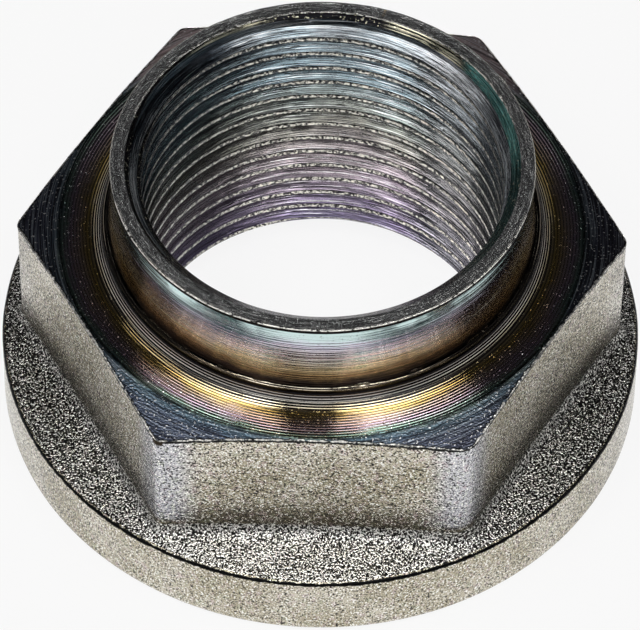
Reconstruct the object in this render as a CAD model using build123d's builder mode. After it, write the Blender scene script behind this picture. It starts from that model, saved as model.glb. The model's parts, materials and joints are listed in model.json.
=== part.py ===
from build123d import *
import os
from math import radians, tan

# Spindle nut: a flanged hexagon nut, forged and turned in one piece, with a thin locking collar
# above the hexagon. The axis is Z, the bearing face lies on Z = 0, and one flat faces -Y.
# All lengths are in millimetres.

# Thread. The bore stands at the thread's crests, and its turns are too fine to cut here.
thread_diameter = 26.0
thread_pitch = 1.5
crest_share_of_pitch = 1.0825
bearing_countersink_diameter = 28.1
mouth_diameter = 26.6
countersink_angle = 45.0

# Flange
flange_diameter = 44.0
flange_rim_height = 5.2
flange_top_slope = 9.0
flange_land = 1.2
flange_top_edge_radius = 0.3
flange_bottom_edge_radius = 0.5

# Hexagon
across_flats = 36.0
hexagon_height = 16.05
hexagon_sides = 6
vertical_edge_radius = 0.9
corner_chamfer_start_diameter = 35.6
corner_chamfer_angle = 13.0
flange_root_radius = 0.9

# Locking collar
nut_height = 23.0
collar_rim_diameter = 28.4
collar_foot_diameter = 29.1
collar_straight_height = 3.0
tool_ledge_width = 0.22
collar_root_radius = 1.2

# Sizes that follow from those above
bore_radius = (thread_diameter - crest_share_of_pitch * thread_pitch) / 2
flange_radius = flange_diameter / 2
flat_distance = across_flats / 2
corner_reach_limit = flange_radius - flange_land
corner_chamfer_start = corner_chamfer_start_diameter / 2
collar_rim_radius = collar_rim_diameter / 2
collar_foot_radius = collar_foot_diameter / 2
mouth_radius = mouth_diameter / 2
bearing_countersink_radius = bearing_countersink_diameter / 2
flange_rise = (flange_radius - bore_radius) * tan(radians(flange_top_slope))
mouth_depth = (mouth_radius - bore_radius) / tan(radians(countersink_angle))
bearing_countersink_depth = (bearing_countersink_radius - bore_radius) / tan(radians(countersink_angle))
chamfer_reach = flange_radius - corner_chamfer_start
chamfer_drop = chamfer_reach * tan(radians(corner_chamfer_angle))
ledge_level = hexagon_height + collar_root_radius
ledge_radius = collar_foot_radius + tool_ledge_width
flare_level = nut_height - collar_straight_height


with BuildPart() as spindle_nut:
    # Flange: a disc whose top rises gently from the rim towards the hexagon
    with BuildSketch(Plane.XZ):
        with BuildLine():
            Polyline(
                (bore_radius, 0),
                (flange_radius, 0),
                (flange_radius, flange_rim_height),
                (bore_radius, flange_rim_height + flange_rise),
                close=True,
            )
        make_face()
    revolve(axis=Axis.Z)
    rim_edges = spindle_nut.edges().filter_by(GeomType.CIRCLE).group_by(SortBy.RADIUS)[-1].sort_by(Axis.Z)
    fillet(rim_edges[-1], radius=flange_top_edge_radius)
    rim_edges = spindle_nut.edges().filter_by(GeomType.CIRCLE).group_by(SortBy.RADIUS)[-1].sort_by(Axis.Z)
    fillet(rim_edges[0], radius=flange_bottom_edge_radius)

    # Hexagon: it grows from the flange, with its upright edges rounded as forged. Its corners keep
    # at least the land's width inside the flange's rim, so that a smaller flange trims them.
    with BuildSketch(Plane.XY) as hexagon_outline:
        RegularPolygon(radius=flat_distance, side_count=hexagon_sides, major_radius=False)
        Circle(corner_reach_limit, mode=Mode.INTERSECT)
        fillet(hexagon_outline.vertices(), radius=vertical_edge_radius)
        Circle(bore_radius, mode=Mode.SUBTRACT)
    extrude(amount=hexagon_height)

    # Root of the hexagon: the forging radius where its sides meet the flange's sloping top
    flange_top = spindle_nut.faces().filter_by(GeomType.CONE).sort_by(Axis.Z)[-1]
    root_edges = flange_top.edges().filter_by(lambda edge: edge.geom_type != GeomType.CIRCLE)
    fillet(root_edges, radius=flange_root_radius)

    # Corner chamfer: a shallow cone turned over the hexagon's top corners
    with BuildSketch(Plane.XZ):
        with BuildLine():
            Polyline(
                (corner_chamfer_start, hexagon_height),
                (flange_radius, hexagon_height - chamfer_drop),
                (flange_radius, hexagon_height),
                close=True,
            )
        make_face()
    revolve(axis=Axis.Z, mode=Mode.SUBTRACT)

    # Locking collar: a thin turned sleeve that flares towards its foot, where the tool left a ledge
    with BuildSketch(Plane.XZ):
        with BuildLine():
            Line((bore_radius, hexagon_height), (bore_radius, nut_height))
            Line((bore_radius, nut_height), (collar_rim_radius, nut_height))
            Line((collar_rim_radius, nut_height), (collar_rim_radius, flare_level))
            TangentArc(
                (collar_rim_radius, flare_level),
                (collar_foot_radius, ledge_level),
                tangent=(0, -1),
            )
            Line((collar_foot_radius, ledge_level), (ledge_radius, ledge_level))
            RadiusArc(
                (ledge_radius, ledge_level),
                (ledge_radius + collar_root_radius, hexagon_height),
                -collar_root_radius,
            )
            Line((ledge_radius + collar_root_radius, hexagon_height), (bore_radius, hexagon_height))
        make_face()
    revolve(axis=Axis.Z)

    # Countersinks at both ends of the thread
    with BuildSketch(Plane.XZ):
        with BuildLine():
            Polyline(
                (bore_radius, nut_height - mouth_depth),
                (mouth_radius, nut_height),
                (bore_radius, nut_height),
                close=True,
            )
        make_face()
        with BuildLine():
            Polyline(
                (bore_radius, bearing_countersink_depth),
                (bearing_countersink_radius, 0),
                (bore_radius, 0),
                close=True,
            )
        make_face()
    revolve(axis=Axis.Z, mode=Mode.SUBTRACT)

spindle_nut.part.label = "spindle_nut"

os.makedirs("parts", exist_ok=True)
export_step(spindle_nut.part, "parts/spindle_nut.step")
print("spindle nut volume, cubic millimetres:", round(spindle_nut.part.volume, 1))
print("spindle nut size:", spindle_nut.part.bounding_box().size)
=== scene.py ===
# %% [markdown]
# A spindle nut, dressed for its portrait
#
# This lesson makes one flanged hexagon nut, the kind that holds a wheel's bearing on its spindle.
# It was forged, its top and bore were turned, and it was plated with zinc. The CAD model holds its
# true size and its main forms. Here we make the surface that the eye meets: the thread's turns,
# the tool's rings, the burrs along the edges, and the plating with its faint rainbow film.

# %% Load the frame
import json
from math import asin, atan2, cos, degrees, hypot, pi, radians, sin, sqrt, tan

import bmesh
import bpy
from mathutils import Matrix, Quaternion, Vector, noise


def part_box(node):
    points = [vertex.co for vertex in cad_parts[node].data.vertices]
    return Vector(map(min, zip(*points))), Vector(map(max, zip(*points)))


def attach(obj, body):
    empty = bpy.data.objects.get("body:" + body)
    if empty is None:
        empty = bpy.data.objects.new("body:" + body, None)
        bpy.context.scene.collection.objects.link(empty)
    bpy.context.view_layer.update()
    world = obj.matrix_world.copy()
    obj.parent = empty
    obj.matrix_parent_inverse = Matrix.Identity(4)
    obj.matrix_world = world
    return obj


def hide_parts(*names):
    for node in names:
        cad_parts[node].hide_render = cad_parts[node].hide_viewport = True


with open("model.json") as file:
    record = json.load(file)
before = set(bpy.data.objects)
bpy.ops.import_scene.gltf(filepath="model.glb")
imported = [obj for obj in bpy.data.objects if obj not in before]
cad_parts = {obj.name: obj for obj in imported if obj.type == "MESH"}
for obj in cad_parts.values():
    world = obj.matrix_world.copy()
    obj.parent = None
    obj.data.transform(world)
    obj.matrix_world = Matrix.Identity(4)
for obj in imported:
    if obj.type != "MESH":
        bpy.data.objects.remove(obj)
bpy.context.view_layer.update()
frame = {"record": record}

low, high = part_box("spindle_nut")
thread_mount = next(mount for mount in frame["record"]["mounts"] if mount["name"] == "thread")

# %% [markdown]
# The nut's sizes
#
# We work in millimetres, because a nut is drawn in millimetres, and turn the mesh to metres once,
# at the end. The height, the flange and the bore come from the frame, so the mesh can't drift
# away from the CAD model. The rest repeats the drawing.

# %% Sizes in millimetres
MM = 0.001
NUT_HEIGHT = high.z / MM
FLANGE_RADIUS = high.x / MM
CREST_RADIUS = thread_mount["dims"]["r_mm"]
PITCH = 1.5
ROOT_RADIUS = 13.0
MOUTH_RADIUS = 13.3
COUNTERSINK_RADIUS = 14.05

COLLAR_RADIUS = 14.2
COLLAR_FOOT_RADIUS = 14.55
FLARE_LEVEL = 20.0
LEDGE_LEVEL = 17.25
LEDGE_RADIUS = 14.77
COLLAR_ROOT_RADIUS = 1.2
FACE_START = LEDGE_RADIUS + COLLAR_ROOT_RADIUS

FLAT_DISTANCE = 18.0
HEXAGON_LEVEL = 16.05
CHAMFER_RADIUS = 17.8
CHAMFER_SLOPE = tan(radians(13))

RIM_HEIGHT = 5.2
FLANGE_TILT = 9
FLANGE_SLOPE = tan(radians(FLANGE_TILT))
ROOT_FILLET = 0.9
TOP_EDGE_FILLET = 0.3
BOTTOM_EDGE_FILLET = 0.5
print("nut:", round(NUT_HEIGHT, 3), "high,", round(2 * FLANGE_RADIUS, 3), "wide, bore", 2 * CREST_RADIUS)

# %% [markdown]
# Columns round the axis
#
# The whole nut is one skin of rings and columns, which a spin makes: a drawn outline is carried
# round the axis in many small steps. A plain spin spaces its columns evenly, but a hexagon needs
# them most at its six corners. So after the spin every column is pulled towards the nearest
# corner, and the corner's small rounding gets many columns while the broad flats get few.

# %% Column spacing
COLUMNS = 300
CORNERS = 6
CORNER_PULL = 0.72


def crowd(angle):
    """An evenly spaced column's angle, pulled towards the nearest corner of the hexagon."""
    return angle - CORNER_PULL * sin(CORNERS * angle) / CORNERS


print("columns at a corner are", round(360 / COLUMNS * (1 - CORNER_PULL), 2), "degrees apart")

# %% [markdown]
# The hexagon's outline
#
# A hexagon with rounded corners can be written as a distance from the axis for every angle: the
# flat's distance divided by a cosine, and near a corner a small circle. Forging dies wear, so each
# corner has its own rounding, and the one at the front right is the roundest.

# %% The hexagon as a distance from the axis
CORNER_ROUNDING = [0.85, 0.95, 0.8, 0.9, 0.75, 1.7]
SECTOR = 2 * pi / CORNERS


def hexagon_radius(angle):
    """How far the hexagon's side stands from the axis at an angle."""
    corner = round(angle / SECTOR)
    off = angle - corner * SECTOR
    rounding = CORNER_ROUNDING[corner % CORNERS]
    centre = (FLAT_DISTANCE - rounding) / cos(SECTOR / 2)
    tangent = atan2(rounding * sin(SECTOR / 2), centre + rounding * cos(SECTOR / 2))
    if abs(off) > tangent:
        return FLAT_DISTANCE / cos(SECTOR / 2 - abs(off))
    return centre * cos(off) + sqrt(rounding**2 - (centre * sin(off)) ** 2)


print("corner reach:", [round(hexagon_radius(corner * SECTOR), 2) for corner in range(CORNERS)])

# %% [markdown]
# The tool's rings
#
# A lathe shaped the collar and the top face, so their section is a line that we can draw. A
# turning tool leaves scallops, one for each turn of the work. They catch the light as bright
# rings, so they are cut into the mesh and not only painted. Their path runs down the fillet at
# the collar's foot, where the first ones are shallower, and out over the face.

# %% Scalloped path over the fillet and the face
FEED = 0.2135
GROOVE_DEPTH = 0.0295
GROOVE_SHARES = [0.0, 0.33, 0.67]
GROOVE_FADE = 0.4
FACE_REACH = 20.9


def groove_depth(share):
    """How deep the tool's round tip cut at a share of one feed: a sharp crest stands between two grooves."""
    return GROOVE_DEPTH * (1 - (2 * share - 1) ** 2)


def turned_path():
    """Ring points from the ledge down the fillet and outwards over the face, with the scallops."""
    fillet_length = COLLAR_ROOT_RADIUS * pi / 2
    points = []
    turns = round((FACE_REACH - FACE_START + fillet_length) / FEED)
    for step in range(turns * len(GROOVE_SHARES)):
        turn, ring = divmod(step, len(GROOVE_SHARES))
        path = (turn + GROOVE_SHARES[ring]) * FEED
        cut = groove_depth(GROOVE_SHARES[ring])
        if path < fillet_length:
            angle = pi + path / COLLAR_ROOT_RADIUS
            reach = COLLAR_ROOT_RADIUS + cut * min(1.0, path / GROOVE_FADE)
            points.append((FACE_START + reach * cos(angle), LEDGE_LEVEL + reach * sin(angle)))
        else:
            points.append((FACE_START + path - fillet_length, HEXAGON_LEVEL - cut))
    return points


face_line = turned_path()
print("turned path:", len(face_line), "rings, one groove every", FEED, "mm")

# %% [markdown]
# The collar's outline
#
# The collar is a thin sleeve that flares to its foot. Its rim was cut off straight, which rolled a
# small burr over the outer edge, and the tool that turned the foot left a ledge with a lip. Both
# are only hundredths of a millimetre high, yet the eye sees them as fine bright lines, so each gets
# a few points of its own. They are given as steps from the edge that they sit on.


# %% The collar from its mouth to the ledge
def arc(centre, radius, start, stop, steps):
    """Points of an arc about a centre in the (radius, level) plane, from one angle to another in degrees."""
    turns = [radians(start + (stop - start) * step / steps) for step in range(steps + 1)]
    return [(centre[0] + radius * cos(turn), centre[1] + radius * sin(turn)) for turn in turns]


def beside(corner, steps):
    """Points at these steps outwards and upwards from a corner of the outline."""
    return [(corner[0] + outwards, corner[1] + upwards) for outwards, upwards in steps]


RIM_LEVEL = NUT_HEIGHT - 0.03
MOUTH_EDGE = 0.04
MOUTH_LEVEL = NUT_HEIGHT - MOUTH_EDGE
RIM_BURR = [(-0.15, -0.026), (-0.1, -0.01), (-0.03, 0.0), (0.02, -0.015)]
RIM_BURR += [(0.035, -0.07), (0.0, -0.16), (-0.01, -0.26), (0.0, -0.34)]
LEDGE_LIP = [(0.035, -0.028), (0.09, -0.035), (0.115, 0.012), (0.15, 0.025), (0.192, 0.022)]

rim_line = [(MOUTH_RADIUS - MOUTH_EDGE, MOUTH_LEVEL)]
rim_line += [(radius, RIM_LEVEL) for radius in (MOUTH_RADIUS, 13.4, 13.7, 13.95)]
rim_line += beside((COLLAR_RADIUS, NUT_HEIGHT), RIM_BURR)

flare = COLLAR_FOOT_RADIUS - COLLAR_RADIUS
flare_height = FLARE_LEVEL - LEDGE_LEVEL
flare_radius = (flare_height**2 + flare**2) / (2 * flare)
flare_angle = degrees(asin(flare_height / flare_radius))
collar_line = [(COLLAR_RADIUS, 22.6), (COLLAR_RADIUS, 21.4)]
collar_line += arc((COLLAR_RADIUS + flare_radius, FLARE_LEVEL), flare_radius, 180, 180 + flare_angle, 8)
collar_line += beside((COLLAR_FOOT_RADIUS, LEDGE_LEVEL), LEDGE_LIP)
print("the collar flares along a radius of", round(flare_radius, 1), "mm")

# %% [markdown]
# The forged outline
#
# Below the top face come the hexagon's side, the rounded root where it grows out of the flange,
# the flange's sloping top, its rim with two rounded edges, and the flat bearing face. The facing
# tool pushed a thin burr over the side's top edge. The outline is drawn for the middle of a flat,
# and the corners are made from it later.


# %% The side, the root, the flange and the bearing face
def cone_level(radius):
    """The flange top's level at a radius."""
    return RIM_HEIGHT + (FLANGE_RADIUS - radius) * FLANGE_SLOPE


SIDE_RINGS = 9
SIDE_BURR = [(0.02, 0.01), (0.04, -0.04), (-0.01, -0.12), (-0.01, -0.22), (0.0, -0.34)]
SIDE_TOP = HEXAGON_LEVEL - (FLAT_DISTANCE - CHAMFER_RADIUS) * CHAMFER_SLOPE
root_centre = FLAT_DISTANCE + ROOT_FILLET
ROOT_LEVEL = cone_level(root_centre) + ROOT_FILLET / cos(radians(FLANGE_TILT))
side_line = beside((FLAT_DISTANCE, SIDE_TOP), SIDE_BURR)
for ring in range(1, SIDE_RINGS):
    side_line.append((FLAT_DISTANCE, SIDE_TOP + (ROOT_LEVEL - SIDE_TOP) * ring / SIDE_RINGS))
root_line = arc((root_centre, ROOT_LEVEL), ROOT_FILLET, 180, 270 - FLANGE_TILT, 8)

edge_centre = FLANGE_RADIUS - TOP_EDGE_FILLET
edge_level = cone_level(edge_centre) - TOP_EDGE_FILLET / cos(radians(FLANGE_TILT))
edge_line = arc((edge_centre, edge_level), TOP_EDGE_FILLET, 90 - FLANGE_TILT, 0, 5)
ROOT_END = root_line[-1][0]
EDGE_START = edge_line[0][0]
flange_line = [(ROOT_END + (EDGE_START - ROOT_END) * ring / 8, 0.0) for ring in range(1, 8)]
edge_line += [(FLANGE_RADIUS, level) for level in (4.0, 3.0, 2.0, 1.0)]
edge_line += arc((FLANGE_RADIUS - BOTTOM_EDGE_FILLET, BOTTOM_EDGE_FILLET), BOTTOM_EDGE_FILLET, 0, -90, 5)
bearing_line = [(radius, 0.0) for radius in (21.0, 19.0, 17.0, 15.0, 14.2, COUNTERSINK_RADIUS)]
print("the side runs from", round(SIDE_TOP, 2), "down to", round(ROOT_LEVEL, 2), "mm")

# %% [markdown]
# Spin the blank
#
# The outline becomes a chain of edges in a bmesh, and one spin carries it round. Each point
# remembers its section in a vertex layer, and each face takes the finish of its upper section.


# %% Spin the outline into a round blank
def spin_round(skin, chain, steps, climb=0.0):
    """Joins a chain of points by edges and spins it once round the axis. One that climbs stays open."""
    links = [skin.edges.new(pair) for pair in zip(chain, chain[1:])]
    bmesh.ops.spin(
        skin,
        geom=chain + links,
        cent=(0, 0, 0),
        axis=(0, 0, 1),
        dvec=(0, 0, climb / steps),
        angle=2 * pi,
        steps=steps,
        use_merge=not climb,
    )


SECTIONS = {
    "rim": ("sheared_rim", rim_line),
    "collar": ("turned_zinc", collar_line),
    "face": ("turned_zinc", face_line),
    "side": ("blasted_side", side_line),
    "root": ("blasted_flange", root_line),
    "flange": ("blasted_flange", flange_line),
    "edge": ("blasted_side", edge_line),
    "bearing": ("faced_underside", bearing_line),
}
NAMES = list(SECTIONS)
FINISHES = ["sheared_rim", "turned_zinc", "cut_thread", "blasted_side", "blasted_flange", "faced_underside"]

nut = bmesh.new()
section_layer = nut.verts.layers.int.new("section")
chain = []
for index, (finish, points) in enumerate(SECTIONS.values()):
    for radius, level in points:
        vertex = nut.verts.new((radius, 0, level))
        vertex[section_layer] = index
        chain.append(vertex)
spin_round(nut, chain, COLUMNS)
for face in nut.faces:
    upper = NAMES[min(vertex[section_layer] for vertex in face.verts)]
    face.material_index = FINISHES.index(SECTIONS[upper][0])
print("blank:", len(nut.faces), "faces")

# %% [markdown]
# Unevenness
#
# No forged or turned edge is perfect. Two small helpers bring that in: a ripple, which is noise
# read along a circle so that it closes on itself, and a bump of limited width for a single mark,
# such as a kink in the rim or a chip at a corner.


# %% Helpers for uneven edges
def ripple(angle, waves, seed):
    """A gentle uneven wave round the nut, from about -1 to 1, that closes on itself."""
    return 1.6 * noise.noise(Vector((waves * cos(angle), waves * sin(angle), seed)))


def near(angle, place, width):
    """1 at a place round the nut, falling to 0 within a width, all in radians."""
    off = (angle - place + pi) % (2 * pi) - pi
    return max(0.0, 1 - (off / width) ** 2) ** 2


print("ripple at four angles:", [round(ripple(radians(turn), 6, 1.0), 2) for turn in (20, 110, 200, 290)])

# %% [markdown]
# The turned sections
#
# The blank is still round, which is right for what the lathe made. The collar's rim only becomes a
# little wavy, with one kink at the back right. The face's rings stay round too. They end where
# they meet the hexagon, and past the chamfer's circle they drop along a shallow cone.

# %% Where the rim's and the face's points go
BURR_START = 13.9
BURR_WIDTH = 0.3
RIM_KINK = radians(32.5)
KINK_WIDTH = 0.05
KINK_SHIFT = 0.07
KINK_OUT = 0.07
KINK_IN = 0.03
RIM_WAVE = 0.012
RIM_RIPPLE = 0.006
CIRCLE_MARGIN = 0.1
EDGE_MARGIN = 0.03
EDGE_FADE = 0.15
CORNER_GROOVES = 0.12


def forge_rim(radius, level, angle):
    """A point of the rim: its outer edge wanders, and the flat keeps its place."""
    share = max(0.0, radius - BURR_START) / BURR_WIDTH
    wobble = RIM_WAVE * ripple(angle, 6, 1.0) + RIM_RIPPLE * ripple(angle, 40, 2.0)
    wobble += KINK_OUT * near(angle, RIM_KINK, KINK_WIDTH)
    wobble -= KINK_IN * near(angle, RIM_KINK + KINK_SHIFT, KINK_WIDTH)
    return radius + share * wobble, level - share * RIM_WAVE * abs(ripple(angle, 50, 3.0))


def chamfer_level(radius):
    """The top's level at a radius: flat up to the chamfer's circle, then a shallow cone."""
    return HEXAGON_LEVEL - max(0.0, radius - CHAMFER_RADIUS) * CHAMFER_SLOPE


def forge_face(radius, level, angle):
    """A point of the top face: past the hexagon's edge it is brought back to it."""
    reach = hexagon_radius(angle)
    if radius <= CHAMFER_RADIUS - CIRCLE_MARGIN:
        return radius, level
    if radius >= reach - EDGE_MARGIN:
        return reach, chamfer_level(reach)
    fade = min(1.0, (reach - radius) / EDGE_FADE)
    if radius > CHAMFER_RADIUS:
        fade *= CORNER_GROOVES
    return radius, chamfer_level(radius) - (HEXAGON_LEVEL - level) * fade


print("the corners' top is", round(HEXAGON_LEVEL - chamfer_level(hexagon_radius(0)), 2), "mm below the face")

# %% [markdown]
# The forged sections
#
# Now the lower sections are pushed to the hexagon's distance, like clay into a die. The sides stand
# on the hexagon, the root follows it down the flange's slope, and the flange's rings spread out
# between the root and the rim. The side's top edge is ragged and has one chip at its front left
# corner, and the flange's rim is a touch uneven.

# %% Where the forged points go
RAGGED_SHARE = 0.03
CHIP_ANGLE = radians(-120) + 0.004
CHIP_WIDTH = 0.035
CHIP_SHARE = 0.07
CHIP_DEPTH = 0.35
BURR_WAVE = 0.018
BURR_RIPPLE = 0.012
BURR_INSET = 0.01
SIDE_BOW = 0.02
FLANGE_WAVE = 0.02


def forge_side(radius, level, angle):
    """A point of the hexagon's side, at the same share of its height at every angle."""
    reach = hexagon_radius(angle)
    grow = reach - FLAT_DISTANCE
    top = chamfer_level(reach)
    foot = ROOT_LEVEL - grow * FLANGE_SLOPE
    share = (SIDE_TOP - level) / (SIDE_TOP - ROOT_LEVEL)
    ragged = max(0.0, 1 - share / RAGGED_SHARE)
    lift = ragged * (BURR_WAVE * ripple(angle, 60, 4.0) + BURR_RIPPLE * ripple(angle, 140, 5.0))
    chip = CHIP_DEPTH * near(angle, CHIP_ANGLE, CHIP_WIDTH) * max(0.0, 1 - share / CHIP_SHARE)
    bow = SIDE_BOW * ripple(angle, 7, 6.0 + share)
    return radius + grow + bow - chip - ragged * BURR_INSET, top + (foot - top) * share + lift


def forge_root(radius, level, angle):
    """A point of the root: it moves out with the side and down with the flange's slope."""
    grow = hexagon_radius(angle) - FLAT_DISTANCE
    return radius + grow, level - grow * FLANGE_SLOPE


def forge_flange(radius, level, angle):
    """A point of the flange's top, between the root and the rim."""
    share = (radius - ROOT_END) / (EDGE_START - ROOT_END)
    start = ROOT_END + hexagon_radius(angle) - FLAT_DISTANCE
    spread = start * (1 - share) + EDGE_START * share
    return spread, cone_level(spread)


def forge_edge(radius, level, angle):
    """A point of the flange's rim, at most a few hundredths of a millimetre inside its circle."""
    return radius - FLANGE_WAVE * (1 + ripple(angle, 9, 7.0 + level / 4)) * min(1.0, level), level


FORGED = {
    "rim": forge_rim,
    "face": forge_face,
    "side": forge_side,
    "root": forge_root,
    "flange": forge_flange,
    "edge": forge_edge,
}
for vertex in nut.verts:
    place = vertex.co
    angle = crowd(atan2(place.y, place.x))
    radius = hypot(place.x, place.y)
    level = place.z
    name = NAMES[vertex[section_layer]]
    if name in FORGED:
        radius, level = FORGED[name](radius, level, angle)
    vertex.co = (radius * cos(angle), radius * sin(angle), level)
print("forged", len(nut.verts), "points")

# %% [markdown]
# Cut the thread
#
# A thread is one tooth's outline carried along a helix, so it is a spin that climbs. One turn is
# spun, each step lifting it a little, and then copied upwards by one pitch at a time. Where the top
# of one turn meets the bottom of the next the points are merged, which gives a bore of crisp
# crests and flanks. The tooth is drawn from one crest's flat over the root to the next crest.

# %% One pitch of the tooth, spun along the helix
TURNS = 17
START_LEVEL = -1.665
MERGE = 0.002
CREST_END = PITCH / 4
ROOT_MIDDLE = (CREST_END + PITCH) / 2
CREST_ROUNDING = [(0.0, -0.06), (0.02, -0.017), (0.057, 0.033)]
ROOT_ROUNDING = [(-0.05, -0.1225), (0.0, 0.0), (-0.05, 0.1225)]
next_crest = [(depth, -rise) for depth, rise in reversed(CREST_ROUNDING)]
tooth = beside((CREST_RADIUS, 0.0), next_crest[-1:])
tooth += beside((CREST_RADIUS, CREST_END), CREST_ROUNDING)
tooth += beside((ROOT_RADIUS, ROOT_MIDDLE), ROOT_ROUNDING)
tooth += beside((CREST_RADIUS, PITCH), next_crest)

bore = bmesh.new()
bore.verts.layers.int.new("section")
chain = [bore.verts.new((radius, 0, START_LEVEL + level)) for radius, level in tooth]
spin_round(bore, chain, COLUMNS, climb=PITCH)
first_turn = bore.verts[:] + bore.edges[:] + bore.faces[:]
for turn in range(1, TURNS):
    copied = bmesh.ops.duplicate(bore, geom=first_turn)["geom"]
    turn_points = [item for item in copied if isinstance(item, bmesh.types.BMVert)]
    bmesh.ops.translate(bore, vec=(0, 0, PITCH * turn), verts=turn_points)
bmesh.ops.remove_doubles(bore, verts=bore.verts, dist=MERGE)
print("thread:", TURNS, "turns,", len(bore.faces), "faces")

# %% [markdown]
# Open the thread's ends
#
# The helix stands out above and below the nut. Its ends are faced off and opened to their
# countersinks by moving what stands too high, too low or too far in. The columns are crowded to
# the corners as outside, so that both skins meet point to point, and since a column that moves
# along the helix has to climb with it, each point's level is corrected too.

# %% Face the thread off and open its countersinks
for vertex in bore.verts:
    place = vertex.co
    even = atan2(place.y, place.x)
    angle = crowd(even)
    level = place.z + PITCH * (angle - even) / (2 * pi)
    level = min(max(level, 0.0), MOUTH_LEVEL)
    radius = hypot(place.x, place.y)
    radius = max(radius, MOUTH_RADIUS - (NUT_HEIGHT - level), COUNTERSINK_RADIUS - level)
    vertex.co = (radius * cos(angle), radius * sin(angle), level)
for face in bore.faces:
    face.material_index = FINISHES.index("cut_thread")
print("thread from", min(vertex.co.z for vertex in bore.verts), "to", round(MOUTH_LEVEL, 2), "mm")

# %% [markdown]
# Join the skin
#
# The bore's skin and the outside meet at two circles, with the same columns, so merging the
# doubles closes the nut. What was flattened at the ends lies on itself and is dissolved. Then the
# normals are turned outwards, edges sharper than a set angle are kept sharp, and the mesh is
# scaled to metres.


# %% Join, merge and check that the skin is closed
def show(name, data):
    """A new object in the scene."""
    thing = bpy.data.objects.new(name, data)
    bpy.context.scene.collection.objects.link(thing)
    return thing


def show_skin(name, skin):
    """A bmesh as a new smooth object in the scene."""
    for face in skin.faces:
        face.smooth = True
    mesh = bpy.data.meshes.new(name)
    skin.to_mesh(mesh)
    skin.free()
    return show(name, mesh)


SHARP = radians(28)
bore_mesh = bpy.data.meshes.new("bore_skin")
bore.to_mesh(bore_mesh)
bore.free()
nut.from_mesh(bore_mesh)
bpy.data.meshes.remove(bore_mesh)
bmesh.ops.remove_doubles(nut, verts=nut.verts, dist=MERGE)
bmesh.ops.dissolve_degenerate(nut, dist=MERGE / 4, edges=nut.edges)
bmesh.ops.recalc_face_normals(nut, faces=nut.faces)
open_edges = sum(1 for edge in nut.edges if not edge.is_manifold)
triangles = sum(len(face.verts) - 2 for face in nut.faces)
print("open or doubled edges:", open_edges, "triangles:", triangles)
print("volume, cubic millimetres:", round(nut.calc_volume(), 1))
for edge in nut.edges:
    edge.smooth = edge.calc_face_angle(0.0) < SHARP
bmesh.ops.scale(nut, vec=(MM, MM, MM), verts=nut.verts)
nut_piece = show_skin("threaded_nut", nut)
weighted = nut_piece.modifiers.new("even_shading", "WEIGHTED_NORMAL")
weighted.keep_sharp = True

# %% [markdown]
# Sums of sockets
#
# A material is a small drawing of nodes. Sums are easier to read as sums, so a socket is wrapped
# in a class whose operators add Math nodes. A smooth step is what we need most: it turns a
# distance or a noise into a mask with a soft edge.


# %% A socket that can be used in a Python expression
class Wire:
    """An output socket. Adding or multiplying wires and numbers adds Math nodes to the material."""

    def __init__(self, paint, socket):
        self.paint = paint
        self.socket = socket

    def maths(self, operation, *values, clamp=False):
        """A Math node on these values, which may be numbers or wires."""
        settings = {"operation": operation, "use_clamp": clamp}
        return self.paint.node("ShaderNodeMath", settings, dict(enumerate(values)))

    def __add__(self, other):
        return self.maths("ADD", self, other)

    def __radd__(self, other):
        return self.maths("ADD", other, self)

    def __sub__(self, other):
        return self.maths("SUBTRACT", self, other)

    def __rsub__(self, other):
        return self.maths("SUBTRACT", other, self)

    def __mul__(self, other):
        return self.maths("MULTIPLY", self, other)

    def __rmul__(self, other):
        return self.maths("MULTIPLY", other, self)

    def __truediv__(self, other):
        return self.maths("DIVIDE", self, other)

    def __pow__(self, other):
        return self.maths("POWER", self, other)

    def __abs__(self):
        return self.maths("ABSOLUTE", self)

    def at_least(self, other):
        """The larger of this value and another."""
        return self.maths("MAXIMUM", self, other)

    def clamp(self):
        """This value, kept between 0 and 1."""
        return self.maths("ADD", self, 0.0, clamp=True)

    def step(self, start, stop):
        """0 at start, 1 at stop, smooth between. The start may be above the stop."""
        share = ((self - start) / (stop - start)).clamp()
        return share * share * (3 - 2 * share)


def span(first, *others):
    """The length of a line with these sides."""
    total = first * first
    for side in others:
        total = total + side * side
    return total**0.5


# %% [markdown]
# The paint box
#
# Every other node comes from one method, which takes a node's type, its settings, and the values
# or links of its sockets. The rest of the class gives short names to what the finishes share: the
# point on the nut, noise, a coat of colour through a mask, relief, and the metal itself.

# %% One material and its nodes
NOISE_STEEPNESS = 0.5


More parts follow.
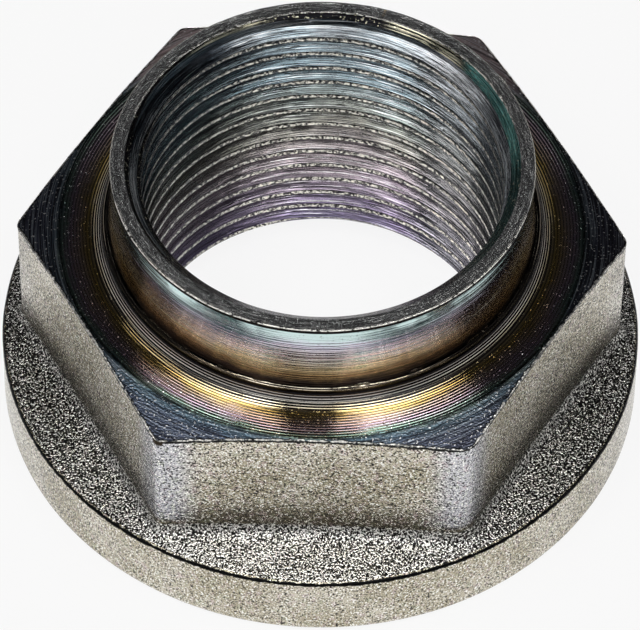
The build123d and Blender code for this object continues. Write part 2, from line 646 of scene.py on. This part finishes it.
class Paint:
    """One material and its nodes."""

    def __init__(self, name):
        self.material = bpy.data.materials.new(name)
        self.material.use_nodes = True
        self.tree = self.material.node_tree
        self.tree.nodes.clear()

    def node(self, kind, settings=None, inputs=None, output=0):
        """Any node: its settings are set first, then its sockets get values or links."""
        made = self.tree.nodes.new(kind)
        for key, value in (settings or {}).items():
            if key == "stops":
                ramp = made.color_ramp
                while len(ramp.elements) < len(value):
                    ramp.elements.new(0.5)
                for element, (position, colour) in zip(ramp.elements, value):
                    element.position = position
                    element.color = (*colour, 1)
            else:
                setattr(made, key, value)
        for key, value in (inputs or {}).items():
            if isinstance(value, Wire):
                self.tree.links.new(value.socket, made.inputs[key])
            else:
                made.inputs[key].default_value = value
        return Wire(self, made.outputs[output])

    def place(self):
        """The point on the object, in millimetres: its vector, x, y, z and distance from the axis."""
        metres = self.node("ShaderNodeTexCoord", output="Object")
        point = self.node("ShaderNodeVectorMath", {"operation": "SCALE"}, {0: metres, "Scale": 1 / MM})
        x, y, z = (self.node("ShaderNodeSeparateXYZ", None, {0: point}, output=axis) for axis in range(3))
        return point, x, y, z, span(x, y)

    def noise(self, vector, scale, detail=2.0, roughness=0.5):
        """A noise value from about 0 to 1, with features about 1 / scale millimetres across."""
        inputs = {"Vector": vector, "Scale": scale, "Detail": detail, "Roughness": roughness}
        return self.node("ShaderNodeTexNoise", {"noise_dimensions": "3D"}, inputs)

    def mix(self, factor, first, second):
        """Two colours mixed. Each is a wire, or red, green and blue."""
        first, second = (side if isinstance(side, Wire) else (*side, 1) for side in (first, second))
        return self.node("ShaderNodeMix", {"data_type": "RGBA"}, {0: factor, 6: first, 7: second}, output=2)

    def coat(self, colour, mask, pigment):
        """A colour with a coat of pigment over it where the mask is above 0."""
        return self.mix(mask, colour, pigment)

    def ramp(self, value, stops):
        """A colour ramp."""
        return self.node("ShaderNodeValToRGB", {"stops": stops}, {0: value})

    def bump(self, height, size, slope, normal=None):
        """Relief from a noise, by its features' size in millimetres and the typical slope of their sides."""
        inputs = {"Strength": 1.0, "Distance": slope * size / NOISE_STEEPNESS * MM, "Height": height}
        if normal is not None:
            inputs["Normal"] = normal
        return self.node("ShaderNodeBump", None, inputs)

    def finish(self, shader):
        """Puts a shader on the material's output and gives the material back."""
        output = self.tree.nodes.new("ShaderNodeOutputMaterial")
        self.tree.links.new(shader.socket, output.inputs["Surface"])
        return self.material

    def metal(self, colour, roughness, normal):
        """The finished metal."""
        inputs = {"Base Color": colour, "Roughness": roughness, "Metallic": 1.0, "Normal": normal}
        return self.finish(self.node("ShaderNodeBsdfPrincipled", None, inputs))


# %% [markdown]
# Grooves and specks
#
# Two kinds of fine relief return on this nut. A cutting edge leaves grooves that run round the
# axis, each a few hundredths of a millimetre wide. They spread a reflection outwards and inwards
# but never sideways, so a turned face shines in bright sectors, one under each lamp. Plating adds
# tiny pimples and pits, which sparkle in the dark parts and show dark in the bright ones. Both
# are noise patterns: the grooves are stretched round the axis and the specks aren't.

# %% Fine relief
GROOVE_CIRCLE = 14


def grooves(paint, place, path, length, width, detail=3.0):
    """Relief of grooves round the axis, about so many millimetres long and wide, across a path."""
    point, x, y, z, radius = place
    turn = GROOVE_CIRCLE / length
    along = {0: x / radius * turn, 1: y / radius * turn, 2: path / width}
    return paint.noise(paint.node("ShaderNodeCombineXYZ", None, along), 1.0, detail, roughness=0.6)


def specks(paint, point, size):
    """Pimples and pits of a size in millimetres: 1 inside them and 0 elsewhere."""
    return paint.noise(point, 1 / size, detail=1.0, roughness=0.4).step(0.695, 0.775)


# %% [markdown]
# Burrs along the edges
#
# Every edge of this nut has a burr: a thread of torn, bright metal, often with a black line beside
# it, which is painted shadow cast by the burr. It is far thinner than a column of the mesh is wide,
# so it is painted by the distance from the edge. One noise lets the lines wander and a second one
# breaks them up, since even lines would look drawn. Where an edge has no burr, far more than the
# burr's reach is added to the distance.

# %% A ragged burr and its painted shadow, by the distance from an edge
BLACK = (0.01, 0.01, 0.01)
TORN_METAL = (1.0, 0.98, 0.92)
FAR = 9


def edged(paint, colour, point, away, bright_reach, shadow_reach, share=0.5):
    """A colour with a bright burr at an edge and, over a share of its length, a painted shadow line beyond
    it.
    """
    wander = paint.noise(point, 2.2, detail=3.0, roughness=0.7) - 0.5
    broken = paint.noise(point, 3.4, detail=2.0, roughness=0.7)
    away = away + wander * 0.42
    # the painted shadow beyond the burr, then the burr's torn metal
    dark = away.step(shadow_reach + 0.03, shadow_reach - 0.03) * broken.step(0.70 - share, 0.78 - share)
    bright = away.step(bright_reach + 0.03, bright_reach - 0.03) * broken.step(0.38, 0.46)
    return paint.coat(paint.coat(colour, dark, BLACK), bright, TORN_METAL)


# %% [markdown]
# The film's colours, with painted reflections
#
# The collar and the top face were turned and then plated, and the thin chromate film over the zinc
# shows interference colours, like oil on water. They follow the surface, and down the collar's wall
# painted reflections are mixed into them: pale blue at the rim, where the wall mirrors the white
# table, then lilac, a painted gold highlight, and brown to a painted black at its foot, where it
# mirrors the dark face. Two painted highlights follow on the ledge's lip, with painted shade round
# them. Then it is pale where the face starts, gold, pink, and a green blue towards the corners. So
# one ramp along the section paints them all.

# %% The film and its painted reflections along the section, as shares of its length
FILM_LENGTH = 15
# the wall's film, with a painted reflection of the table at the top, a painted gold highlight and a painted
# black foot
FILM_AND_REFLECTION_ON_THE_COLLAR = [
    (0.00, (0.62, 0.80, 0.78)),
    (0.08, (0.66, 0.80, 0.80)),
    (0.13, (0.70, 0.66, 0.78)),
    (0.18, (0.86, 0.77, 0.79)),
    (0.23, (0.90, 0.82, 0.70)),
    (0.28, (0.82, 0.64, 0.38)),
    (0.33, (0.34, 0.22, 0.10)),
    (0.37, (0.05, 0.035, 0.025)),
]
# painted shade on the ledge, with the lip's two lines as painted highlights
HIGHLIGHTS_AND_SHADE_ON_THE_LEDGE = [
    (0.402, (0.012, 0.01, 0.01)),
    (0.407, (0.80, 0.72, 0.58)),
    (0.411, (0.80, 0.72, 0.58)),
    (0.413, (0.012, 0.012, 0.012)),
    (0.417, (0.012, 0.012, 0.012)),
    (0.421, (0.80, 0.70, 0.56)),
    (0.425, (0.80, 0.70, 0.56)),
    (0.427, (0.012, 0.012, 0.012)),
    (0.45, (0.014, 0.012, 0.016)),
]
FILM_ON_THE_FACE = [
    (0.465, (0.60, 0.56, 0.54)),
    (0.50, (0.80, 0.76, 0.68)),
    (0.575, (0.66, 0.48, 0.16)),
    (0.62, (0.64, 0.50, 0.42)),
    (0.66, (0.54, 0.42, 0.50)),
    (0.695, (0.32, 0.44, 0.36)),
    (0.73, (0.13, 0.21, 0.26)),
    (0.80, (0.12, 0.15, 0.22)),
    (1.00, (0.12, 0.13, 0.18)),
]
# all the stops: film colours with painted reflections, painted highlights and painted shade
FILM_AND_PAINTED_LIGHT = FILM_AND_REFLECTION_ON_THE_COLLAR + HIGHLIGHTS_AND_SHADE_ON_THE_LEDGE + FILM_ON_THE_FACE
print("the film has", len(FILM_AND_PAINTED_LIGHT), "stops over", FILM_LENGTH, "mm")

# %% [markdown]
# Landmarks along the section
#
# The marks on the turned surfaces start and stop at places along the section, such as the wall's
# end or the chamfer's circle. They are named here, in millimetres from the collar's rim. A mask is
# 0 at a pair's first value and 1 at its second.

# %% Where the masks begin and end
SECTION_START = NUT_HEIGHT - COLLAR_RADIUS
ON_THE_WALL = (6.5, 6.0)
PAST_THE_WALL = (6.0, 6.3)
INTO_THE_FILLET = (7.6, 7.2)
PAST_THE_LEDGE = (6.6, 6.8)
UP_TO_THE_FACE = (8.6, 8.1)
ON_THE_FACE = (9.2, 9.6)
BURR_FREE = (9.4, 8.4)
UP_TO_THE_CIRCLE = (10.6, 10.5)
CIRCLE_INSIDE = (10.44, 10.5)
CIRCLE_OUTSIDE = (10.64, 10.58)
ON_A_CORNER = (10.52, 10.62)
print("the chamfer's circle:", round(CHAMFER_RADIUS - HEXAGON_LEVEL + SECTION_START, 2), "mm from the rim")

# %% [markdown]
# Shade in the grooves
#
# The mesh has only three rings for each groove, too few for its dark side to come out crisply.
# So the path that placed the rings is worked out once more for every point, round the fillet and
# out over the face, and a cosine along it darkens one side of each groove. In the fillet, where the
# tool's marks look almost black, the shade is deepest.

# %% The dark side of the grooves
SHADE_SHIFT = 0.83


def shade_grooves(paint, place, section, colour):
    """A colour with the grooves' dark sides on it."""
    point, x, y, z, radius = place
    drop = LEDGE_LEVEL - z
    inwards = (FACE_START - radius).at_least(0.0)
    outwards = (radius - FACE_START).at_least(0.0)
    travel = drop.maths("ARCTAN2", drop, inwards) * COLLAR_ROOT_RADIUS + outwards
    swing = (travel / FEED - SHADE_SHIFT) * (2 * pi)
    fillet = section.step(*UP_TO_THE_FACE)
    dark = (swing.maths("COSINE", swing) + fillet * 0.1).step(-0.1, 0.7)
    turned = section.step(*PAST_THE_LEDGE) * section.step(*UP_TO_THE_CIRCLE)
    return paint.coat(colour, dark * turned * (0.62 + 0.36 * fillet), (0.01, 0.01, 0.012))


# %% [markdown]
# The hexagon's corners from above
#
# Outside the chamfer's circle the tool cut a shallow cone, and there the rings are finer and less
# even. The circle itself shows as a dark line. The back corners look brown and pink, and the right
# and outer ones are darkened, the outer ones nearly black, as painted shade. Small bright specks lie
# over them as painted glints.


# %% Marks on the corners' cones
def mark_corners(paint, place, section, colour, corner, star):
    """A colour with the corners' tints, rings and painted shade, and the specks' painted glints, on it."""
    point, x, y, z, radius = place
    ring = grooves(paint, place, section, 3.0, 0.075, detail=1.0)
    # the back corners' pink first, then painted shade on the right and the outer ones, then the rings and
    # the painted glints
    behind = corner * y.step(11.0, 14.0)
    outer = corner * abs(x).step(12.0, 15.0) * (1 - behind)
    circle = section.step(*CIRCLE_INSIDE) * section.step(*CIRCLE_OUTSIDE) * star.step(0.36, 0.5)
    colour = paint.coat(colour, behind, (0.60, 0.46, 0.46))
    colour = paint.coat(colour, corner * x.step(4.0, 9.0) * 0.35, (0.05, 0.04, 0.04))
    colour = paint.coat(colour, outer * 0.6, (0.03, 0.02, 0.03))
    colour = paint.coat(colour, corner * ring.step(0.53, 0.42) * 0.85, (0.02, 0.02, 0.025))
    colour = paint.coat(colour, corner * ring.step(0.55, 0.66) * 0.6, (0.36, 0.40, 0.44))
    # bright specks over the face's outer part and the corners are painted glints
    colour = paint.coat(colour, section.step(*ON_THE_FACE) * star.step(0.66, 0.70) * 0.9, (0.9, 0.9, 0.9))
    return paint.coat(colour, circle * 0.9, (0.01, 0.012, 0.012))


# %% [markdown]
# Turned zinc
#
# Now the turned finish is put together. Its section runs from the collar's rim, at 0, down the wall
# and out over the face, as a sum of the drop and the step outwards. Noise makes the film drift, but
# not at the ledge, whose two painted highlight lines stay even. Fine grooves give the wall its
# streaks. At the end come the burrs along the hexagon's edge and the collar's rim, each with a
# painted shadow line.


# %% The turned finish
def turned_zinc(name):
    """Plated zinc on turned metal, for the collar and the top face."""
    paint = Paint(name)
    place = paint.place()
    point, x, y, z, radius = place
    section = radius - z + SECTION_START
    cloud = paint.noise(point, 0.2, detail=3.0, roughness=0.6)
    patch = paint.noise(point, 1.1, detail=3.0, roughness=0.6)
    coarse = grooves(paint, place, section, 12.0, 0.13, detail=1.0)
    fine = grooves(paint, place, section, 4.0, 0.04, detail=1.0)
    speck = specks(paint, point, 0.14)
    star = paint.noise(point, 6.5, detail=1.0, roughness=0.5)
    wall = section.step(*ON_THE_WALL)
    corner = section.step(*ON_A_CORNER)

    drift = (cloud - 0.5) * 1.2 + (patch - 0.5) * 0.9 + (coarse - 0.5) * 0.5
    steady = section.step(*PAST_THE_WALL) * section.step(*INTO_THE_FILLET)
    # the ramp paints the film with the collar's painted reflections and the ledge's painted highlights and
    # shade
    colour = paint.ramp((section + drift * (1 - steady)) / FILM_LENGTH, FILM_AND_PAINTED_LIGHT)
    colour = paint.coat(colour, speck * 0.6, (0.03, 0.03, 0.035))
    colour = shade_grooves(paint, place, section, colour)
    colour = mark_corners(paint, place, section, colour, corner, star)

    # burrs with painted shadow lines along the hexagon's top edge and under the collar's rim
    slanted = abs(x) * cos(SECTOR / 2) + abs(y) * sin(SECTOR / 2)
    inset = FLAT_DISTANCE - slanted.at_least(abs(y)) + section.step(*BURR_FREE) * FAR
    colour = edged(paint, colour, point, inset, 0.06, 0.15, 0.3)
    below_rim = NUT_HEIGHT - z + radius.step(14.9, 15.1) * FAR
    colour = edged(paint, colour, point, below_rim, 0.02, 0.24)

    normal = paint.bump(coarse * (0.15 + wall), 0.13, 0.05)
    normal = paint.bump(fine * (0.15 + wall * 0.25), 0.04, 0.07, normal)
    normal = paint.bump(speck, 0.05, 0.08, normal)
    normal = paint.bump(star * corner, 0.14, 0.12, normal)
    return paint.metal(colour, 0.06 + patch * 0.06 + corner * 0.2, normal)


# %% [markdown]
# Cut thread
#
# The thread was cut with a pointed tool, so its flanks carry long streaks, and its crests are torn
# and grainy. The streaks are grooves again, and their path mixes the radius with a little of the
# height, so that no two flanks look the same. The film is tinted by depth: silvery and teal near
# the mouth, greenish grey in the middle, pink and violet towards the bearing face.

# %% The thread's colours by height
THREAD_FILM = [
    (0.0, (0.26, 0.24, 0.42)),
    (0.14, (0.44, 0.36, 0.54)),
    (0.3, (0.74, 0.62, 0.70)),
    (0.42, (0.72, 0.64, 0.64)),
    (0.52, (0.56, 0.55, 0.48)),
    (0.63, (0.50, 0.56, 0.52)),
    (0.76, (0.44, 0.60, 0.68)),
    (0.88, (0.52, 0.64, 0.70)),
    (0.94, (0.56, 0.62, 0.66)),
    (0.98, (0.12, 0.16, 0.20)),
]


# %% [markdown]
# The mouth
#
# The countersink above the last turn is a smooth cone. It is painted nearly black at the front and
# left, a painted dark reflection, with pale dots, and a green blue film covers it at the right. At
# the back it carries short pale streaks. A cone at 45 degrees is easy to find: its radius less its
# height is the same all over.


# %% The mouth's cone
def paint_mouth(paint, place, colour, streak, tear):
    """A colour with the mouth's cone on it."""
    point, x, y, z, radius = place
    inside = radius - z - (MOUTH_RADIUS - NUT_HEIGHT)
    mouth = inside.step(0.07, 0.03) * z.step(21.0, 21.2)
    green = x.step(9.0, 10.0) * (0.2 + 0.8 * y.step(-1.0, 3.0))
    streaked = abs(x).step(3.5, 5.5) * abs(x).step(9.8, 8.2) * y.step(0.0, 3.0) * streak.step(0.50, 0.55)
    dotted = tear.step(0.60, 0.64) * 0.8
    # the cone is painted nearly black as a dark reflection, green blue where the film covers it
    faced = paint.mix(green, (0.012, 0.012, 0.014), (0.22, 0.52, 0.48))
    faced = paint.coat(faced, (dotted + streaked).clamp(), (0.9, 0.86, 0.66))
    return paint.coat(colour, mouth, faced)


# %% The thread's finish
def cut_thread(name):
    """Zinc on a cut thread, with streaked flanks and torn crests."""
    paint = Paint(name)
    place = paint.place()
    point, x, y, z, radius = place
    streak = grooves(paint, place, radius * 1.4 + z * 0.3, 8.0, 0.09, detail=2.0)
    tear = paint.noise(point, 5.0, detail=3.0, roughness=0.75)
    cloud = paint.noise(point, 0.22, detail=3.0)
    crest = radius.step(CREST_RADIUS + 0.03, CREST_RADIUS + 0.01)

    colour = paint.ramp((z + (cloud - 0.5) * 5 + (streak - 0.5) * 2) / NUT_HEIGHT, THREAD_FILM)
    # painted shade on the left and painted light on the right, and the streaks lie over both
    colour = paint.coat(colour, x.step(8.0, 3.0) * 0.5, (0.02, 0.02, 0.02))
    colour = paint.coat(colour, x.step(5.0, 8.0) * 0.6, (0.96, 0.97, 1.0))
    colour = paint.coat(colour, streak.step(0.5, 0.38) * 0.7, (0.02, 0.02, 0.03))
    colour = paint.coat(colour, streak.step(0.55, 0.68) * 0.6, (0.92, 0.92, 0.92))

    # the crests are torn into bright and black grains, with painted shade over them on the left
    torn = paint.mix(tear.step(0.49, 0.54), BLACK, (1.0, 0.97, 0.86))
    torn = paint.coat(torn, x.step(-4.0, -8.0) * 0.5, (0.02, 0.02, 0.03))
    colour = paint.coat(colour, crest * 0.9, torn)
    colour = paint_mouth(paint, place, colour, streak, tear)

    normal = paint.bump(streak * (1 - crest) + tear * crest, 0.09, 0.2)
    return paint.metal(colour, 0.12 + crest * 0.1, normal)


# %% [markdown]
# Blasted zinc
#
# The forged sides and the flange were cleaned with shot before plating, so they are matt with a
# gritty grain. Every grain is a tiny mirror at its own angle: one sees a lamp and the next sees
# the dark studio. Relief alone would be too soft at this size, so the same noise also paints the
# darkest grains as painted shade and the brightest as painted glints, with more painted shade at
# the sides and the back. The flange's grain is steeper than the sides'.


# %% Stains and tints, painted shade at the root and painted highlights on the edges, under the grain
def stain(paint, place, colour, cloud, hue, root_shade):
    """A colour with painted shade at the root, painted highlights on the upright edges, strongest at the
    front, and a slight green and pink in patches.
    """
    point, x, y, z, radius = place
    # painted shade low on the side, where it meets the flange, and painted highlights on the upright edges
    root = z.step(9.4, 7.2) * radius.step(FLANGE_RADIUS - 0.6, FLANGE_RADIUS - 1.6)
    facing = 0.2 + 0.6 * y.step(-13.0, -16.0)
    upright_highlight = radius.step(19.3, 20.3) * radius.step(21.0, 20.9) * z.step(6.3, 7.0)
    colour = paint.coat(colour, root * (0.5 + 0.6 * cloud) * root_shade, (0.16, 0.13, 0.08))
    colour = paint.coat(colour, upright_highlight * facing, (0.60, 0.61, 0.68))
    colour = paint.coat(colour, hue.step(0.55, 0.7) * 0.35, (0.46, 0.52, 0.36))
    return paint.coat(colour, hue.step(0.45, 0.3) * 0.5, (0.62, 0.48, 0.50))


# %% The chip and the flange's dark lip
CHIP = (-10.35, -17.85, 15.3)
LIP_RADIUS = 21.9
LIP_LEVEL = 5.12


def scar(paint, place, colour, cloud, hue):
    """A colour with the burr at the side's top and its painted shadow line, the chip under it, and the line
    round the flange's edge.
    """
    point, x, y, z, radius = place
    top = HEXAGON_LEVEL - (radius - CHAMFER_RADIUS).at_least(0.0) * CHAMFER_SLOPE
    colour = edged(paint, colour, point, top - z, 0.0, 0.27)
    chip = span(x - CHIP[0], y - CHIP[1], (z - CHIP[2]) * 0.7) + (cloud - 0.5) * 0.3 + (hue - 0.5) * 0.5
    colour = paint.coat(colour, chip.step(0.46, 0.36), (0.04, 0.03, 0.02))
    wander = (paint.noise(point, 2.0, detail=3.0, roughness=0.7) - 0.5) * 0.35
    lip = span(radius - LIP_RADIUS, z - LIP_LEVEL) + wander
    return paint.coat(colour, lip.step(0.15, 0.11), BLACK)


# %% The blasted finish
GRAIN_EDGE = 0.05
FRONT = -12


def blasted(name, slope, pale, brown, dark_below, bright_above, grain_size=0.13, pits=1.0, root_shade=0.0):
    """Plated zinc on shot-blasted metal. Pits says how strongly the single grains' painted glints and
    painted shade show.
    """
    paint = Paint(name)
    place = paint.place()
    point, x, y, z, radius = place
    coarse = paint.noise(point, 1 / grain_size, detail=1.0, roughness=0.5)
    fine = paint.noise(point, 2.2 / grain_size, detail=1.0, roughness=0.5)
    cloud = paint.noise(point, 0.22, detail=4.0, roughness=0.6)
    hue = paint.noise(point, 2.2, detail=2.0)
    colour = paint.mix(cloud.step(0.35, 0.65), brown, pale)
    colour = stain(paint, place, colour, cloud, hue, root_shade)

    # painted shade: more grains turn black at the sides and the back
    away = (y - FRONT).at_least(0.0)
    grit = coarse * 0.8 + fine * 0.2 - (x * x + away * away).step(60.0, 400.0) * 0.035
    # the darkest grains are painted shade and the brightest painted glints
    colour = paint.coat(colour, grit.step(dark_below, dark_below - GRAIN_EDGE) * pits, BLACK)
    colour = paint.coat(colour, grit.step(bright_above, bright_above + GRAIN_EDGE) * pits, (1.0, 0.99, 0.95))
    colour = scar(paint, place, colour, cloud, hue)
    normal = paint.bump(coarse * 0.85 + fine * 0.15, grain_size, slope)
    return paint.metal(colour, 0.15, normal)


# %% [markdown]
# The collar's rim
#
# The rim's flat top was sheared off by a parting tool and took little zinc, so it is charcoal dark
# with fine grey streaks and bright specks. Burrs run along its inner edge at the back and along its
# outer edge at the front and sides, with painted shadow lines, and the step under the outer burr is
# painted dark as shade. One brown seam crosses it at the back.

# %% The rim's finish
SEAM_ANGLE = radians(74.2)
SEAM_GRAIN = (0.62, 0.52, 0.38)


def sheared_rim(name):
    """Bare sheared metal with burrs at both edges."""
    paint = Paint(name)
    place = paint.place()
    point, x, y, z, radius = place
    streak = grooves(paint, place, radius, 1.2, 0.1)
    grain = paint.noise(point, 7.0, detail=3.0, roughness=0.7)
    colour = paint.mix(streak.step(0.45, 0.7), (0.20, 0.20, 0.20), (0.80, 0.80, 0.78))
    colour = paint.coat(colour, grain.step(0.55, 0.62) * 0.8, (0.9, 0.92, 0.9))

    # burrs with painted shadow lines at the inner edge, then at the outer one
    inner = radius - MOUTH_RADIUS + y.step(4.0, 0.0) * FAR
    colour = edged(paint, colour, point, inner, 0.09, 0.12)
    outer = COLLAR_RADIUS - radius + (NUT_HEIGHT - z)
    colour = edged(paint, colour, point, outer + y.step(-4.0, 0.0) * FAR, 0.12, 0.14)
    side = y.step(-4.0, 0.0) * abs(x).step(5.5, 7.5)
    colour = paint.coat(colour, outer.step(0.07, 0.03) * side, (1.0, 0.98, 0.9))

    # the seam, and painted shade on the step under the rim's burr
    across = x * sin(SEAM_ANGLE) - y * cos(SEAM_ANGLE)
    seam = abs(across).step(0.12, 0.05) * y.step(5.0, 8.0) * (radius + grain).step(14.0, 14.2)
    colour = paint.coat(colour, seam * 0.9, SEAM_GRAIN)
    under = (NUT_HEIGHT - z).step(0.07, 0.12)
    colour = paint.coat(colour, under, (0.01, 0.01, 0.012))
    return paint.metal(colour, 0.25, paint.bump(streak * 0.35 + grain * 0.65, 0.14, 0.23))


# %% [markdown]
# Put the finishes on
#
# Each finish takes the place in the mesh's list that its faces already point to. The three blasted
# ones differ only in their grain and tint: the sides are warm and matt, the flange is contrasty,
# and the underside, which nobody sees, was only faced and is smooth. Then the piece is tied to the
# nut's body, and its CAD node is hidden.

# %% The nut's six materials, and its place in the part
made = [
    sheared_rim("sheared_rim"),
    turned_zinc("turned_zinc"),
    cut_thread("cut_thread"),
    blasted(
        "blasted_side",
        slope=0.28,
        pale=(0.66, 0.61, 0.50),
        brown=(0.46, 0.41, 0.29),
        dark_below=0.45,
        bright_above=0.575,
        root_shade=1.0,
    ),
    blasted(
        "blasted_flange",
        slope=0.42,
        pale=(0.42, 0.41, 0.38),
        brown=(0.34, 0.32, 0.28),
        dark_below=0.50,
        bright_above=0.50,
    ),
    blasted(
        "faced_underside",
        slope=0.06,
        pale=(0.50, 0.48, 0.44),
        brown=(0.46, 0.44, 0.40),
        dark_below=0.46,
        bright_above=0.56,
        grain_size=0.2,
        pits=0.3,
    ),
]
for material in made:
    nut_piece.data.materials.append(material)
    print(material.name, len(material.node_tree.nodes), "nodes")
assert [material.name for material in made] == FINISHES

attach(nut_piece, "root")
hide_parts("spindle_nut")

# %% [markdown]
# The table
#
# Metal shows what is round it. The photograph's metal is bright where it sees the white table, so
# there is a wide floor whose wall rises in a bend, made by a spin like the nut. To the camera, and
# in the metal, it glows an even white that fades with the distance. To everything else it is a
# plain pale surface, which keeps the nut's shadow.

# %% Floor
FLOOR_RADIUS = 0.7
BEND = 0.12
WALL_TOP = 0.2
FLOOR_COLUMNS = 96
floor_line = [(0.0, 0.0), (FLOOR_RADIUS, 0.0)]
floor_line += arc((FLOOR_RADIUS, BEND), BEND, -90, 0, 8) + [(FLOOR_RADIUS + BEND, WALL_TOP)]
table = bmesh.new()
chain = [table.verts.new((radius, 0, level)) for radius, level in floor_line]
spin_round(table, chain, FLOOR_COLUMNS)
bmesh.ops.remove_doubles(table, verts=table.verts, dist=1e-6)
bmesh.ops.recalc_face_normals(table, faces=table.faces)
print("table:", len(table.faces), "faces")
floor = show_skin("floor", table)

# %% The floor's white
GLOW = 0.88
GLOW_FADE = 0.8
paint = Paint("white_table")
rays = ("Is Camera Ray", "Is Glossy Ray", "Is Transmission Ray")
seen, mirrored, through = (paint.node("ShaderNodeLightPath", output=ray) for ray in rays)
diffuse = paint.node("ShaderNodeBsdfDiffuse", None, {"Color": (0.9, 0.9, 0.9, 1)})
glow = paint.node("ShaderNodeEmission", None, {"Color": (1, 1, 1, 1), "Strength": 1.0})
distance = paint.place()[4]
share = (seen + mirrored + through).clamp() * (GLOW - GLOW_FADE * distance.step(110.0, 380.0))
white = paint.node("ShaderNodeMixShader", None, {0: share, 1: diffuse, 2: glow})
floor.data.materials.append(paint.finish(white))
print("the floor glows at", GLOW, "near the nut")

# %% [markdown]
# The studio's lamps
#
# The world is dim, so that what sees no lamp and no table stays dark, as the photograph's top face
# does. Two soft boxes hang over the nut, one to each side, and draw the two bright sectors on the
# turned face. A small one in front lights the fillet, one far to the left lights the thread's right
# side, and a wide weak one behind shows in the back corners. A lamp's place is written as slopes,
# how far it reaches sideways for each step up, because that is what a level mirror sees.

# %% World and lamps
world = bpy.data.worlds.new("dim_studio")
bpy.context.scene.world = world
world.use_nodes = True
background = world.node_tree.nodes["Background"]
background.inputs["Color"].default_value = (0.02, 0.02, 0.022, 1)
background.inputs["Strength"].default_value = 1.0

LAMP_HEIGHT = 0.6
LAMPS = {
    "left_box": ((-0.50, -0.21), (-0.85, 0.15), 4.0),
    "right_box": ((0.105, 0.43), (-0.85, 0.15), 4.0),
    "front_box": ((-0.21, 0.105), (-1.15, -0.72), 1.8),
    "far_box": ((-1.0, -0.74), (-0.3, 0.25), 1.3),
    "back_box": ((-1.6, 1.6), (1.5, 2.8), 0.3),
}
for name, (x_range, y_range, radiance) in LAMPS.items():
    lamp = bpy.data.lights.new(name, "AREA")
    lamp.shape = "RECTANGLE"
    lamp.size = (x_range[1] - x_range[0]) * LAMP_HEIGHT
    lamp.size_y = (y_range[1] - y_range[0]) * LAMP_HEIGHT
    lamp.energy = radiance * pi * lamp.size * lamp.size_y
    holder = show(name, lamp)
    holder.location = Vector((sum(x_range) / 2, sum(y_range) / 2, 1)) * LAMP_HEIGHT
    print(name, round(lamp.size, 3), "by", round(lamp.size_y, 3), "m")
bpy.context.scene.view_settings.view_transform = "Standard"

# %% [markdown]
# Camera
#
# The camera was worked out from the photograph: circles and edges of known size were matched to
# their pixels. It looks down at 52 degrees through a long lens, a touch to the right of the front
# flat, and the picture is turned by less than a degree.

# %% Camera
CAMERA_AZIMUTH = radians(1.241)
CAMERA_ELEVATION = radians(52.06)
CAMERA_ROLL = radians(0.764)
CAMERA_DISTANCE = 414.64 * MM
CAMERA_AIM = Vector((-0.043, 0.0, 6.438)) * MM
camera_data = bpy.data.cameras.new("camera")
camera_data.sensor_width = 36
camera_data.lens = 338.16
camera_data.clip_start = 0.01
camera = show("camera", camera_data)
level_reach = cos(CAMERA_ELEVATION)
back = (sin(CAMERA_AZIMUTH) * level_reach, -cos(CAMERA_AZIMUTH) * level_reach, sin(CAMERA_ELEVATION))
back = Vector(back)
camera.rotation_mode = "QUATERNION"
camera.rotation_quaternion = back.to_track_quat("Z", "Y") @ Quaternion((0, 0, 1), CAMERA_ROLL)
camera.location = CAMERA_AIM + back * CAMERA_DISTANCE
bpy.context.scene.camera = camera
print("camera at, metres:", [round(value, 4) for value in camera.location])
